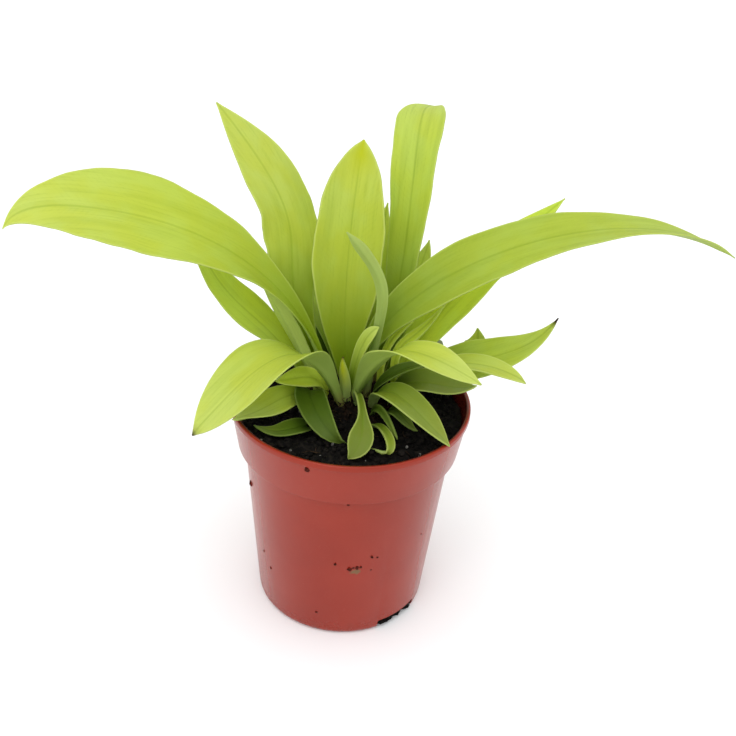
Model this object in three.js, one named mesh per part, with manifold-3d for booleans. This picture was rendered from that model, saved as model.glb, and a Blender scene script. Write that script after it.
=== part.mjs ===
// A young fern with strap-shaped fronds, growing in a 6 cm nursery pot.
// Millimetres, +Z up. The origin is on the flat underside of the pot, on the pot's axis.
// The fronds spread along X, and -Y is the front.

import * as THREE from 'three';
import { mergeVertices } from 'three/addons/utils/BufferGeometryUtils.js';
import Module from 'manifold-3d';

const wasm = await Module();
wasm.setup();

// Pot: radii are of the outer skin unless they say otherwise.
const POT_HEIGHT = 59;
const POT_SIDES = 56;
const BASE_RADIUS = 22.1;
const BASE_ROUNDING = 1.9;
const WALL_TOP_RADIUS = 26.2;
const COLLAR_BOTTOM = 47;
const COLLAR_BOTTOM_RADIUS = 27.9;
const LIP_BOTTOM = 57.5;
const COLLAR_TOP_RADIUS = 29.6;
const LIP_RADIUS = 30;
const EDGE = 0.3;
const WALL = 1;
const FLOOR = 1.2;
const NOTCH_WIDTH = 13;
const NOTCH_HEIGHT = 3;
const NOTCH_INNER_RADIUS = 17.5;
const NOTCH_ANGLES = [-45, 135];
const CUT_MARGIN = 2;

// Soil: a plug that follows the inside of the pot, with a rough and slightly sloping top.
const SEAT_GAP = 0.3;
const SOIL_TOP = 55.6;
const SOIL_SIDES = 36;
const SOIL_RINGS = 11;
const SOIL_SLOPE_X = -0.016;
const SOIL_SLOPE_Y = -0.034;
const SOIL_ROUGHNESS = 0.16;
const SOIL_WAVES = [[0.9, 0.5, 0], [-0.8, 0.7, 1], [1.6, 1.4, 2], [1.5, -1.3, 0.4]];

// Crown: the brown rootstock that the fronds grow from.
const CROWN_CENTRE = [2, 4.5];
const CROWN_HALF_SIZE = [12.6, 11.4];
const CROWN_BOTTOM = 50.6;
const CROWN_SHOULDER = 55.6;
const CROWN_TOP = 57.6;
const CROWN_SIDES = 24;
const CROWN_RINGS = 5;
const CROWN_FOOT = 0.9;
const CROWN_EDGE = 1;
const CROWN_OUTLINE = [[5, 0.035, 1], [9, 0.025, 0]];
const CROWN_ROUGHNESS = 0.15;
const CROWN_WAVES = [[1.9, 1.7, 0.6], [-1.9, 1.7, 2]];

// Fronds: what all of them share.
const ROOT_HEIGHT = 52;
const STALK_WIDTH = 1.9;
const TIP_WIDTH = 0.6;
const HALF_THICKNESS = 0.33;
const KEEL_AT_ROOT = 0.55;
const KEEL_AT_TIP = 0.12;
const CUP_LENGTH = 0.45;
const CUP_CURVE = 1.5;
const CUP_NARROWING = 0.25;
const LEAN_CURVE = 5;
const FOOT_LENGTH = 0.2;
const STRIPS = 4;
const STATION_SPACING = 5;
const FEWEST_STATIONS = 9;
const MOST_STATIONS = 17;
const RIPPLES = 2.5;
const RIPPLE_SHIFT = 1.9;
const SLEEVE_SIDES = 6;
const SLEEVE_GAP = 0.2;
const SLEEVE_STEP = 0.045;
const SLEEVE_TOP = 58.3;
const SLEEVE_END = 0.36;

const COLOURS = {
  pot: 0xa34b41,
  soil: 0x1e1a17,
  crown: 0x5a4026,
  bright: 0xb8d050,
  middle: 0x9cbc44,
  shade: 0x6f9634,
};

// Each frond runs from its root in the crown through the points a and b, at a third and two thirds
// of its length, to its tip. face is the compass angle, in degrees from +X, that it leans towards.
// width is the blade's greatest, reached at the fraction wide of the length; taper shapes the way
// there from the stalk, and bluntness the way on to the tip. lean is how far the tip lies off the
// blade's middle line, as a fraction of its half width. roll turns the blade about its own length,
// in degrees at the root, the middle and the tip. cup folds the two halves up, at the root and
// along the blade. wave is the height of the ripples in the margin.
const FRONDS = [
  { name: 'left_long', colour: 'bright', face: 178, root: [-4.5, 4.5], a: [-23.2, 5, 88.9],
    b: [-53.6, 1, 103.7], tip: [-79.4, -7, 106.7], width: 21.4, wide: 0.65, taper: 3,
    bluntness: 1.6, lean: 0.55, roll: [-19, -30, -34] },
  { name: 'left_upright', colour: 'bright', face: 125, root: [-4, 8], a: [-15.9, 13, 82.9],
    b: [-18.3, 19, 98.3], tip: [-36.2, 26, 123.1], width: 14.4, wide: 0.59, bluntness: 4,
    roll: [-32, -8, -19], wave: 0.9 },
  { name: 'centre_upright', colour: 'bright', face: 90, root: [-0.5, 7.5], a: [-2.7, 12, 77.9],
    b: [-2.1, 18, 100.8], tip: [-0.5, 25, 116.6], width: 18, wide: 0.51, taper: 1.8,
    bluntness: 2.4, roll: [0, -2, -7], cup: [0.6, 0.5] },
  { name: 'right_upright', colour: 'middle', face: 75, root: [5.5, 9.5], a: [10.8, 15, 87.8],
    b: [12.3, 23, 114.3], tip: [15.5, 43, 120.8], width: 12.2, wide: 0.81, taper: 1.1,
    bluntness: 2.3, lean: -0.46, roll: [-3, -10, -1] },
  { name: 'right_long', colour: 'middle', face: 0, root: [4.2, 5.6], a: [12, 6, 82.2],
    b: [46.9, 2, 104.6], tip: [83.3, -6, 104.9], width: 12.8, wide: 0.49, taper: 2.9,
    bluntness: 2.5, roll: [48, 42, -36] },
  { name: 'right_behind', colour: 'middle', face: 25, root: [8.4, 8.8], a: [21, 13, 76.5],
    b: [35, 17, 93], tip: [49.5, 22, 106], width: 11.4, wide: 0.42, roll: [20, 35, 30] },
  { name: 'back_slim', colour: 'middle', face: 60, root: [8.6, 11.8], a: [11.5, 17, 72.5],
    b: [15, 20, 84], tip: [17.5, 24, 92], width: 7.6 },
  { name: 'back_upright', colour: 'middle', face: 85, root: [1.5, 11], a: [3, 17, 70],
    b: [4.5, 23, 85], tip: [6.5, 30, 99], width: 9 },
  { name: 'left_low_back', colour: 'middle', face: 165, root: [-8, 7.5], a: [-21.6, 10, 70.6],
    b: [-32.7, 13, 79.9], tip: [-43.8, 16, 100.5], width: 10.4, wide: 0.44, taper: 2.6,
    bluntness: 2, roll: [-12, -20, -28] },
  { name: 'left_slim', colour: 'middle', face: 178, root: [-8.9, 4.6], a: [-10.3, 5.5, 61.8],
    b: [-16.9, 7.2, 75.3], tip: [-23.2, 8.6, 84.5], width: 5, wide: 0.64, taper: 1.2,
    bluntness: 2, roll: [20, 60, 60] },
  { name: 'left_arch', colour: 'bright', face: 200, root: [-0.6, -1.2], a: [-11.4, -4, 71.8],
    b: [-23.1, -12.5, 71.2], tip: [-36.1, -20, 58.3], width: 18, wide: 0.53, taper: 2.5,
    bluntness: 3.1, roll: [91, 9, -19] },
  { name: 'left_under', colour: 'bright', face: 195, root: [-6.3, 3], a: [-8.5, 1, 62.6],
    b: [-14.1, -2.4, 64.7], tip: [-18.1, -6, 66.1], width: 5.7, wide: 0.55, taper: 2.3,
    bluntness: 1.25, roll: [-9, -34, -25] },
  { name: 'left_low', colour: 'bright', face: 195, root: [-9.4, 0.4], a: [-13.5, -2.7, 60.2],
    b: [-19.4, -9.4, 60.8], tip: [-27.5, -15.3, 60.2], width: 9.7, wide: 0.73, taper: 2.2,
    bluntness: 1.8, roll: [2, -14, 33] },
  { name: 'left_soil', colour: 'shade', face: 200, root: [-8.5, -6.5], a: [-11.5, -12.4, 57.3],
    b: [-16, -15.5, 57.8], tip: [-22.5, -14.5, 58.5], width: 6 },
  { name: 'front_left', colour: 'shade', face: 250, root: [-5, -4.2], a: [-10.1, -2.4, 61.5],
    b: [-7.7, -12.2, 61.2], tip: [-0.1, -18, 57.1], width: 7.6, wide: 0.54, taper: 1.4,
    bluntness: 2 },
  { name: 'front_small', colour: 'middle', face: 265, root: [2.4, 0.2], a: [1.7, -6, 63.5],
    b: [3.2, -16.5, 62.4], tip: [0.2, -24.3, 57.4], width: 6, wide: 0.8, taper: 28,
    bluntness: 2.3, roll: [-11, -15, 0] },
  { name: 'right_front', colour: 'middle', face: 320, root: [5.5, 0.5], a: [8.4, -6, 64.7],
    b: [15.3, -13, 64.3], tip: [23.7, -19.5, 59.1], width: 9.5, wide: 0.55, taper: 1.7,
    bluntness: 2.6, roll: [0, -2, -15] },
  { name: 'right_arch', colour: 'bright', face: 345, root: [-0.7, 2.3], a: [6.3, -4.6, 72.6],
    b: [16, -9.5, 77.5], tip: [30.1, -13, 72.4], width: 10.3, wide: 0.47, taper: 2.5,
    bluntness: 3.3, roll: [-108, -18, 29] },
  { name: 'right_slim', colour: 'bright', face: 355, root: [14.8, 3.4], a: [20.8, 7.3, 63.6],
    b: [32.6, 5.5, 66.9], tip: [43.5, 3, 63.9], width: 7.7, wide: 0.61, taper: 1.4,
    bluntness: 2.2, roll: [-8, 0, 17] },
  { name: 'right_dark_tip', colour: 'middle', face: 20, root: [13.5, 9.5], a: [25.3, 13.5, 61],
    b: [40.4, 16, 65.3], tip: [52.1, 18, 75.2], width: 11.6, wide: 0.49, bluntness: 1.4,
    roll: [23, 27, 10] },
  { name: 'right_low', colour: 'middle', face: 355, root: [10.2, 1.8], a: [14, 0.2, 63.3],
    b: [22, -3.2, 65.5], tip: [30, -6.2, 68], width: 11 },
  { name: 'right_inner', colour: 'shade', face: 350, root: [6.6, 2.6], a: [8.2, 1.8, 63],
    b: [14.5, -1, 69], tip: [16.5, -3, 70.4], width: 6.1, wide: 0.45, bluntness: 1,
    roll: [-12, 5, -4] },
  { name: 'centre_small', colour: 'middle', face: 60, root: [-0.2, 4.8], a: [0.9, 1.5, 67.5],
    b: [3.1, 0.5, 75.5], tip: [5.8, 0.3, 78.8], width: 3.7, wide: 0.58, bluntness: 2.5,
    roll: [0, -22, 9] },
  { name: 'centre_bud', colour: 'middle', face: 250, root: [-2.7, -0.2], a: [-1.5, 0.7, 59.5],
    b: [-2, 0.3, 65.2], tip: [-2.4, 0, 70.2], width: 3 },
  { name: 'centre_front', colour: 'middle', face: 260, root: [3.6, 3.3], a: [5.5, 1.7, 76.8],
    b: [5.4, 0.9, 90], tip: [-3.1, -0.6, 103.1], width: 3.1, wide: 0.9, taper: 1.9 },
  { name: 'front_curl', colour: 'middle', face: 290, root: [4.5, -4.8], a: [8, -13.3, 58.9],
    b: [10, -20, 58.2], tip: [5.6, -19.8, 57.5], width: 2.3, cup: [0.3, 0.2] },
  { name: 'front_thin', colour: 'shade', face: 300, root: [5.4, -2.4], a: [6.6, -6, 59.8],
    b: [9.2, -11.5, 60.2], tip: [11.6, -16, 57.8], width: 2, roll: [40, 60, 60] },
  { name: 'right_soil', colour: 'shade', face: 325, root: [8, -2.5], a: [10.5, -7, 60],
    b: [13, -9.5, 59.5], tip: [16.5, -11.5, 57.5], width: 4.5 },
  { name: 'right_tip_behind', colour: 'middle', face: 40, root: [11, 14], a: [20.5, 17.5, 59.6],
    b: [30.2, 21.5, 61], tip: [32.5, 23.5, 68], width: 6.5, wide: 0.8, taper: 3,
    roll: [20, 30, 30] },
  { name: 'fan_left', colour: 'middle', face: 25, root: [8.6, 5.4], a: [7.7, 6.5, 67.4],
    b: [11.4, 7.5, 74.6], tip: [14.8, 8, 78.4], width: 2, roll: [20, 40, 40] },
  { name: 'fan_right', colour: 'middle', face: 20, root: [12, 6.5], a: [10.9, 6.8, 67.2],
    b: [14.3, 8.5, 72], tip: [22, 10, 81.3], width: 3, wide: 0.55, bluntness: 2.5,
    roll: [19, 31, 44] },
  { name: 'back_left_low', colour: 'shade', face: 150, root: [-5.5, 10.5], a: [-11, 17, 64],
    b: [-20, 26, 66], tip: [-29, 33, 60], width: 9 },
  { name: 'back_left', colour: 'middle', face: 125, root: [-2.5, 13.5], a: [-9, 22, 71],
    b: [-16, 34, 75], tip: [-22, 44, 68], width: 11 },
  { name: 'back_centre', colour: 'middle', face: 92, root: [1, 14.5], a: [0.5, 25, 71],
    b: [-1, 38, 74], tip: [-3, 49, 66], width: 12 },
  { name: 'back_right', colour: 'middle', face: 70, root: [4.5, 15], a: [9.5, 24, 70],
    b: [15.5, 34, 74], tip: [21, 43, 68], width: 11 },
  { name: 'back_right_low', colour: 'shade', face: 45, root: [8, 14.5], a: [13, 21, 60.2],
    b: [19, 29, 60.8], tip: [25, 35, 56], width: 9 },
];

const FROND_DEFAULTS = {
  wide: 0.5, taper: 1.3, bluntness: 1.9, lean: 0, roll: [0, 0, 0], cup: [0.9, 0.2], wave: 0,
};

const clamp01 = (value) => THREE.MathUtils.clamp(value, 0, 1);

function bodyFrom(vertices, faces) {
  const geometry = new THREE.BufferGeometry();
  geometry.setAttribute('position', new THREE.Float32BufferAttribute(vertices.flat(), 3));
  geometry.setIndex(faces.flat());
  return geometry;
}

function solidFrom(geometry) {
  const bare = geometry.clone();
  bare.deleteAttribute('normal');
  bare.deleteAttribute('uv');
  const merged = mergeVertices(bare, 1e-4);
  return new wasm.Manifold(new wasm.Mesh({
    numProp: 3,
    vertProperties: new Float32Array(merged.attributes.position.array),
    triVerts: new Uint32Array(merged.index.array),
  }));
}

function geometryFrom(solid) {
  const mesh = solid.getMesh();
  const geometry = new THREE.BufferGeometry();
  geometry.setAttribute('position', new THREE.Float32BufferAttribute(mesh.vertProperties, 3));
  geometry.setIndex(new THREE.Uint32BufferAttribute(mesh.triVerts, 1));
  return geometry;
}

// A body of stacked rings, each a closed loop of equally many points, with flat ends.
function stackedRings(rings) {
  const sides = rings[0].length;
  const vertices = rings.flat();
  const faces = [];
  for (let ring = 0; ring + 1 < rings.length; ring += 1) {
    for (let side = 0; side < sides; side += 1) {
      const low = ring * sides + side;
      const lowNext = ring * sides + (side + 1) % sides;
      faces.push([low, lowNext, lowNext + sides], [low, lowNext + sides, low + sides]);
    }
  }
  const lastRing = (rings.length - 1) * sides;
  for (let side = 1; side + 1 < sides; side += 1) {
    faces.push([0, side + 1, side], [lastRing, lastRing + side, lastRing + side + 1]);
  }
  return bodyFrom(vertices, faces);
}

function ringPoints(sides, pointAt) {
  return Array.from({ length: sides }, (_, side) => pointAt(side / sides * 2 * Math.PI));
}

// ---- pot ----

function potGeometry() {
  const rounding = [0, 30, 60, 90].map((degrees) => {
    const angle = THREE.MathUtils.degToRad(degrees);
    const inset = BASE_ROUNDING * (1 - Math.sin(angle));
    return [BASE_RADIUS - inset, BASE_ROUNDING * (1 - Math.cos(angle))];
  });
  const profile = [
    [0, 0],
    ...rounding,
    [WALL_TOP_RADIUS, COLLAR_BOTTOM],
    [COLLAR_BOTTOM_RADIUS - EDGE, COLLAR_BOTTOM],
    [COLLAR_BOTTOM_RADIUS, COLLAR_BOTTOM + EDGE],
    [COLLAR_TOP_RADIUS, LIP_BOTTOM],
    [LIP_RADIUS, LIP_BOTTOM],
    [LIP_RADIUS, POT_HEIGHT - EDGE],
    [LIP_RADIUS - EDGE, POT_HEIGHT],
    [LIP_RADIUS - WALL, POT_HEIGHT],
    ...insideOfPot().reverse(),
    [0, FLOOR],
  ].map(([radius, height]) => new THREE.Vector2(radius, height));
  const shell = new THREE.LatheGeometry(profile, POT_SIDES).rotateX(Math.PI / 2);
  let pot = solidFrom(shell);
  for (const angle of NOTCH_ANGLES) {
    pot = pot.subtract(solidFrom(notchCutter(angle)));
  }
  return geometryFrom(pot);
}

// The inside of the pot above its floor, from the bottom up.
function insideOfPot() {
  return [
    [BASE_RADIUS - WALL, FLOOR],
    [WALL_TOP_RADIUS - WALL, COLLAR_BOTTOM - WALL],
    [COLLAR_BOTTOM_RADIUS - WALL, COLLAR_BOTTOM],
    [COLLAR_TOP_RADIUS - WALL, LIP_BOTTOM],
  ];
}

function notchCutter(degrees) {
  const depth = BASE_RADIUS + CUT_MARGIN - NOTCH_INNER_RADIUS;
  const height = NOTCH_HEIGHT + CUT_MARGIN;
  return new THREE.BoxGeometry(depth, NOTCH_WIDTH, height)
    .translate(NOTCH_INNER_RADIUS + depth / 2, 0, NOTCH_HEIGHT - height / 2)
    .rotateZ(THREE.MathUtils.degToRad(degrees));
}

// ---- soil and crown ----

// The sum of plane waves, each given by its pace along X and Y and its phase.
function waves(list, x, y) {
  return list.reduce((sum, [alongX, alongY, phase]) =>
    sum + Math.sin(alongX * x + alongY * y + phase), 0);
}

function soilHeight(x, y) {
  const slope = SOIL_SLOPE_X * x + SOIL_SLOPE_Y * y;
  return SOIL_TOP + slope + SOIL_ROUGHNESS * waves(SOIL_WAVES, x, y);
}

function soilGeometry(cutters) {
  const topRadius = COLLAR_TOP_RADIUS - WALL - 2 * SEAT_GAP;
  const rings = insideOfPot().slice(0, -1).map(([wallRadius, height]) => {
    const radius = wallRadius - SEAT_GAP;
    return ringPoints(SOIL_SIDES, (angle) =>
      [radius * Math.cos(angle), radius * Math.sin(angle), height + SEAT_GAP]);
  });
  for (let ring = 0; ring < SOIL_RINGS; ring += 1) {
    const radius = topRadius * (1 - ring / SOIL_RINGS);
    rings.push(ringPoints(SOIL_SIDES, (angle) => {
      const x = radius * Math.cos(angle);
      const y = radius * Math.sin(angle);
      return [x, y, soilHeight(x, y)];
    }));
  }
  return geometryFrom(solidFrom(stackedRings(rings)).subtract(cutters));
}

// The crown's body; grown is added all round for the hole that it sits in.
function crownBody(grown) {
  const [centreX, centreY] = CROWN_CENTRE;
  const [halfX, halfY] = CROWN_HALF_SIZE;
  const ringAt = (scale, height) => ringPoints(CROWN_SIDES, (angle) => {
    const outline = CROWN_OUTLINE.reduce((sum, [lobes, size, phase]) =>
      sum + size * Math.sin(lobes * angle + phase), scale);
    const x = centreX + (halfX * outline + grown) * Math.cos(angle);
    const y = centreY + (halfY * outline + grown) * Math.sin(angle);
    const rough = height > CROWN_SHOULDER ? CROWN_ROUGHNESS * waves(CROWN_WAVES, x, y) : 0;
    return [x, y, height + rough];
  });
  const rings = [ringAt(CROWN_FOOT, CROWN_BOTTOM - grown), ringAt(1, CROWN_BOTTOM + CROWN_EDGE)];
  for (let ring = 0; ring < CROWN_RINGS; ring += 1) {
    const rise = Math.sin(ring / CROWN_RINGS * Math.PI / 2);
    const scale = Math.cos(ring / CROWN_RINGS * Math.PI / 2);
    rings.push(ringAt(scale, CROWN_SHOULDER + grown + (CROWN_TOP - CROWN_SHOULDER) * rise));
  }
  return stackedRings(rings);
}

// ---- fronds ----

// The cubic that passes through four points at 0, 1/3, 2/3 and 1, and its direction.
function pathAt(points, t) {
  const knots = [0, 1 / 3, 2 / 3, 1];
  const place = new THREE.Vector3();
  const direction = new THREE.Vector3();
  points.forEach((point, index) => {
    const [p, q, r] = knots.filter((_, other) => other !== index);
    const knot = knots[index];
    const scale = (knot - p) * (knot - q) * (knot - r);
    const slope = (t - q) * (t - r) + (t - p) * (t - r) + (t - p) * (t - q);
    place.addScaledVector(point, (t - p) * (t - q) * (t - r) / scale);
    direction.addScaledVector(point, slope / scale);
  });
  return { place, direction: direction.normalize() };
}

function rollAt([atRoot, atMiddle, atTip], t) {
  return atRoot * (1 - t) * (1 - 2 * t) + 4 * atMiddle * t * (1 - t) + atTip * t * (2 * t - 1);
}

function widthAt(frond, t) {
  if (t < frond.wide) {
    const opening = Math.sin(Math.PI / 2 * Math.max(t, 0) / frond.wide) ** frond.taper;
    return STALK_WIDTH + (frond.width - STALK_WIDTH) * opening;
  }
  const beyond = (t - frond.wide) / (1 - frond.wide);
  return Math.max(frond.width * (1 - beyond ** frond.bluntness), TIP_WIDTH);
}

// Where the frond is at t, with the direction across the blade and the direction of its upper face.
function frameAt(frond, t) {
  const points = [[...frond.root, ROOT_HEIGHT], frond.a, frond.b, frond.tip];
  const { place, direction } = pathAt(points.map((point) => new THREE.Vector3(...point)), t);
  const face = THREE.MathUtils.degToRad(frond.face);
  const across = new THREE.Vector3(-Math.sin(face), Math.cos(face), 0);
  across.addScaledVector(direction, -across.dot(direction)).normalize();
  across.applyAxisAngle(direction, THREE.MathUtils.degToRad(rollAt(frond.roll, t)));
  const up = new THREE.Vector3().crossVectors(direction, across);
  return { place, direction, across, up };
}

// How far the halves fold up: little in the stalk's foot, most above it, less along the blade.
function cupAt({ cup: [stalkCup, bladeCup] }, t) {
  const opened = bladeCup + (stalkCup - bladeCup) * clamp01(1 - t / CUP_LENGTH) ** CUP_CURVE;
  return opened * THREE.MathUtils.smoothstep(t + FOOT_LENGTH / 3, 0, FOOT_LENGTH);
}

// A point of the blade's middle surface; side runs from -1 to 1 across it.
function bladePoint(frond, t, side) {
  const { place, across, up } = frameAt(frond, t);
  const half = widthAt(frond, t) / 2;
  const beyond = clamp01((t - frond.wide) / (1 - frond.wide));
  const drift = frond.lean * frond.width / 2 * beyond ** LEAN_CURVE;
  const cup = cupAt(frond, t);
  const phase = 2 * Math.PI * RIPPLES * t + (side > 0 ? RIPPLE_SHIFT : 0);
  const ripple = frond.wave * Math.sin(Math.PI * t) * side * side * Math.sin(phase);
  const rise = cup * half * Math.abs(side) ** CUP_CURVE + ripple;
  return place
    .addScaledVector(across, (side * half + drift) * (1 - CUP_NARROWING * cup * cup))
    .addScaledVector(up, rise);
}

function frondGeometry(frond) {
  const reach = new THREE.Vector3(...frond.tip)
    .distanceTo(new THREE.Vector3(...frond.root, ROOT_HEIGHT));
  const stations = Math.round(
    THREE.MathUtils.clamp(reach / STATION_SPACING, FEWEST_STATIONS, MOST_STATIONS),
  );
  const step = 1e-3;
  const upper = [];
  const lower = [];
  for (let station = 0; station <= stations; station += 1) {
    const t = station / stations;
    for (let strip = 0; strip <= STRIPS; strip += 1) {
      const side = 2 * strip / STRIPS - 1;
      const middle = bladePoint(frond, t, side);
      const along = bladePoint(frond, t + step, side).sub(bladePoint(frond, t - step, side));
      const across = bladePoint(frond, t, side + step).sub(bladePoint(frond, t, side - step));
      const normal = along.cross(across).normalize();
      const keel = side === 0 ? THREE.MathUtils.lerp(KEEL_AT_ROOT, KEEL_AT_TIP, t) : 0;
      upper.push(middle.clone().addScaledVector(normal, HALF_THICKNESS).toArray());
      lower.push(middle.clone().addScaledVector(normal, -HALF_THICKNESS - keel).toArray());
    }
  }
  return closedSheet(upper, lower, stations, STRIPS);
}

// Two grids of points, one above the other, closed all round their edge.
function closedSheet(upper, lower, rows, columns) {
  const perRow = columns + 1;
  const below = upper.length;
  const faces = [];
  for (let row = 0; row < rows; row += 1) {
    for (let column = 0; column < columns; column += 1) {
      const corner = row * perRow + column;
      const [p, q, r, s] = [corner, corner + 1, corner + perRow + 1, corner + perRow];
      faces.push([p, r, q], [p, s, r]);
      faces.push([below + p, below + q, below + r], [below + p, below + r, below + s]);
    }
  }
  const edge = [];
  for (let column = 0; column < columns; column += 1) edge.push(column);
  for (let row = 0; row < rows; row += 1) edge.push(row * perRow + columns);
  for (let column = columns; column > 0; column -= 1) edge.push(rows * perRow + column);
  for (let row = rows; row > 0; row -= 1) edge.push(row * perRow);
  edge.forEach((from, index) => {
    const to = edge[(index + 1) % edge.length];
    faces.push([from, to, below + to], [from, below + to, below + from]);
  });
  return bodyFrom([...upper, ...lower], faces);
}

// The hole that a frond's stalk stands in: the stalk's own route, a little wider than the stalk.
function sleeve(frond) {
  const rings = [];
  const addRing = ({ place, across, up }, radius) => {
    rings.push(ringPoints(SLEEVE_SIDES, (angle) => place.clone()
      .addScaledVector(across, radius * Math.cos(angle))
      .addScaledVector(up, radius * Math.sin(angle)).toArray()));
  };
  const radiusAt = (t) => {
    const half = widthAt(frond, t) / 2;
    const reach = Math.hypot(half, cupAt(frond, t) * half + HALF_THICKNESS);
    return (reach + SLEEVE_GAP) / Math.cos(Math.PI / SLEEVE_SIDES);
  };
  const root = frameAt(frond, 0);
  root.place.addScaledVector(root.direction, -SLEEVE_GAP);
  addRing(root, radiusAt(0));
  let t = 0;
  let frame = root;
  while (frame.place.z < SLEEVE_TOP && t < SLEEVE_END) {
    t += SLEEVE_STEP;
    frame = frameAt(frond, t);
    addRing(frame, radiusAt(t));
  }
  return stackedRings(rings);
}

// ---- assembly ----

function addPiece(group, name, geometry, colour, roughness) {
  geometry.computeVertexNormals();
  const material = new THREE.MeshStandardMaterial({ color: colour, roughness, metalness: 0 });
  const mesh = new THREE.Mesh(geometry, material);
  mesh.name = name;
  group.add(mesh);
}

const fronds = FRONDS.map((frond) => ({ ...FROND_DEFAULTS, ...frond }));
const stalkHoles = wasm.Manifold.union(fronds.map((frond) => solidFrom(sleeve(frond))));
const crownHole = solidFrom(crownBody(SEAT_GAP));
const crown = geometryFrom(solidFrom(crownBody(0)).subtract(stalkHoles));

const fern = new THREE.Group();
addPiece(fern, 'pot', potGeometry(), COLOURS.pot, 0.45);
addPiece(fern, 'soil', soilGeometry(crownHole.add(stalkHoles)), COLOURS.soil, 0.95);
addPiece(fern, 'crown', crown, COLOURS.crown, 0.9);
for (const frond of fronds) {
  addPiece(fern, frond.name, frondGeometry(frond), COLOURS[frond.colour], 0.5);
}

export default fern;
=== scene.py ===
"""A young fern with strap-shaped fronds in a 6 cm nursery pot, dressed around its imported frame.

Measures are in millimetres and become metres where a mesh is made; light, camera clipping, bump
and noise are in metres. +Z is up, -Y is the front, and the origin is on the flat underside of the
pot, on its axis. Colours are given by the 0 to 255 values that a screen shows them with.
"""

import math
import random

import bmesh
import bpy
import numpy as np
from mathutils import Matrix, Vector, noise


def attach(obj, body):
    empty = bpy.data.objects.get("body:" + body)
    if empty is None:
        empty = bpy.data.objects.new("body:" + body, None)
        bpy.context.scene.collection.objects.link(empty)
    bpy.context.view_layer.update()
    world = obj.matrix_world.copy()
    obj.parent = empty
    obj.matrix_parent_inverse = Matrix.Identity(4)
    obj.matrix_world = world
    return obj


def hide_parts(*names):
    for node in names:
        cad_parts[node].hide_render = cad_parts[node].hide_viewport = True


MM = 0.001

# Random draws: their seeds, and how far apart they read the noise.
SEEDS = dict(specks=11, crumbs=5, notches=23, fibres=7, perlite=3, scales=17)
NOISE_REACH = 50

# Camera: fitted to the photograph, a square of FRAME_PIXELS. Its turns are in radians.
CAMERA_PLACE = (0, -211.8, 191.9)
CAMERA_YAW = 0.018
CAMERA_PITCH = 0.531
CAMERA_ROLL = 0.069
FOCAL_PIXELS = 1003.3
FRAME_PIXELS = 736
SENSOR = 36
CLIP_START = 0.01
CLIP_END = 20

# Light: an even sky, a broad overhead light, and a softbox for the sheen on leaves and pot.
SKY_COLOUR = (1, 1, 1, 1)
SKY_STRENGTH = 1
OVERHEAD_FROM = (-0.05, -0.3, 1)
OVERHEAD_STRENGTH = 0.65
OVERHEAD_SPREAD = 80
KEY_PLACE = (-0.2, -0.5, 0.7)
KEY_TARGET = (0, 0, 0.07)
KEY_SIZE = 0.45
KEY_WATTS = 1.2

# Floor: a wide sheet of pale paper, whose tones are given as light from 0 to 1.
FLOOR_REACH = 4000
PAPER_TONES = ((0.96, 0.967, 0.98, 1), (0.975, 0.98, 0.99, 1))
PAPER_CLOUD = (3, 2)
PAPER_SHINE = dict(Roughness=0.7, Specular_IOR_Level=0.1)

# Pot: the outer skin's radii and heights.
LIP_HEIGHT = 59
LIP_RADIUS = 30
LIP_BOTTOM = 57.5
COLLAR_TOP_RADIUS = 29.6
COLLAR_BOTTOM = 47
COLLAR_BOTTOM_RADIUS = 27.9
WALL_TOP_RADIUS = 26.2
WALL_BASE_RADIUS = 22.1
WALL = 1
POT_FLOOR = 1.2
POT_SIDES = 160
ROUNDING_STEPS = 4
SHARP_DEGREES = 35

# Corners of the pot's closed profile, each with its radius, its height and its rounding.
POT_OUTSIDE = (
    (WALL_BASE_RADIUS, 0, 1.9), (WALL_TOP_RADIUS, COLLAR_BOTTOM, 0.3),
    (COLLAR_BOTTOM_RADIUS, COLLAR_BOTTOM, 0.15), (COLLAR_TOP_RADIUS, LIP_BOTTOM, 0.2),
    (LIP_RADIUS, LIP_BOTTOM, 0.2), (LIP_RADIUS, LIP_HEIGHT, 0.45),
    (LIP_RADIUS - WALL, LIP_HEIGHT, 0.4),
)
POT_INSIDE = (
    (COLLAR_TOP_RADIUS - WALL, LIP_BOTTOM, 0.3), (COLLAR_BOTTOM_RADIUS - WALL, COLLAR_BOTTOM, 0.5),
    (WALL_TOP_RADIUS - WALL, COLLAR_BOTTOM - WALL, 0.4),
    (WALL_BASE_RADIUS - WALL, POT_FLOOR, 0.8),
)

# Drainage notches, and the crumbs of soil that show in them, filled out to the wall's face as the
# notches' painted shade; their clearance is in crumb sizes.
NOTCH_WIDTH = 13
NOTCH_HEIGHT = 3
NOTCH_INNER_RADIUS = 17.5
NOTCH_OUTER_RADIUS = 24.1
NOTCH_ROUNDING = 0.5
NOTCH_ANGLES = (-45, 135)
NOTCH_FILL_RADII = (18.8, 21.3)
NOTCH_CRUMBS = 150
NOTCH_CRUMB_SIZES = (0.5, 0.9)
NOTCH_CRUMB_CLEARANCE = 1.6

# Crumbs of soil stuck to the pot: compass angle, height and size.
POT_SPECKS = (
    (-107.5, 56.4, 0.75), (-160.6, 36.4, 0.75), (-147.3, 18.4, 0.55), (-139.9, 14.8, 0.38),
    (-93.3, 25.6, 0.5), (-72, 27.6, 0.5), (-68.5, 27.2, 0.35), (-71.6, 23.1, 0.32),
    (-84.8, 24, 0.75), (-82.6, 24.4, 0.6), (-80.4, 24.5, 0.5), (-78.2, 24.6, 0.35),
    (-88, 45.4, 0.35), (-104, 7.1, 0.4), (-36.4, 28.5, 0.25),
    (60, 31, 0.5), (118, 22, 0.6), (152, 40, 0.4), (95, 52, 0.5),
)
SPECK_SINK = 0.4

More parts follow.
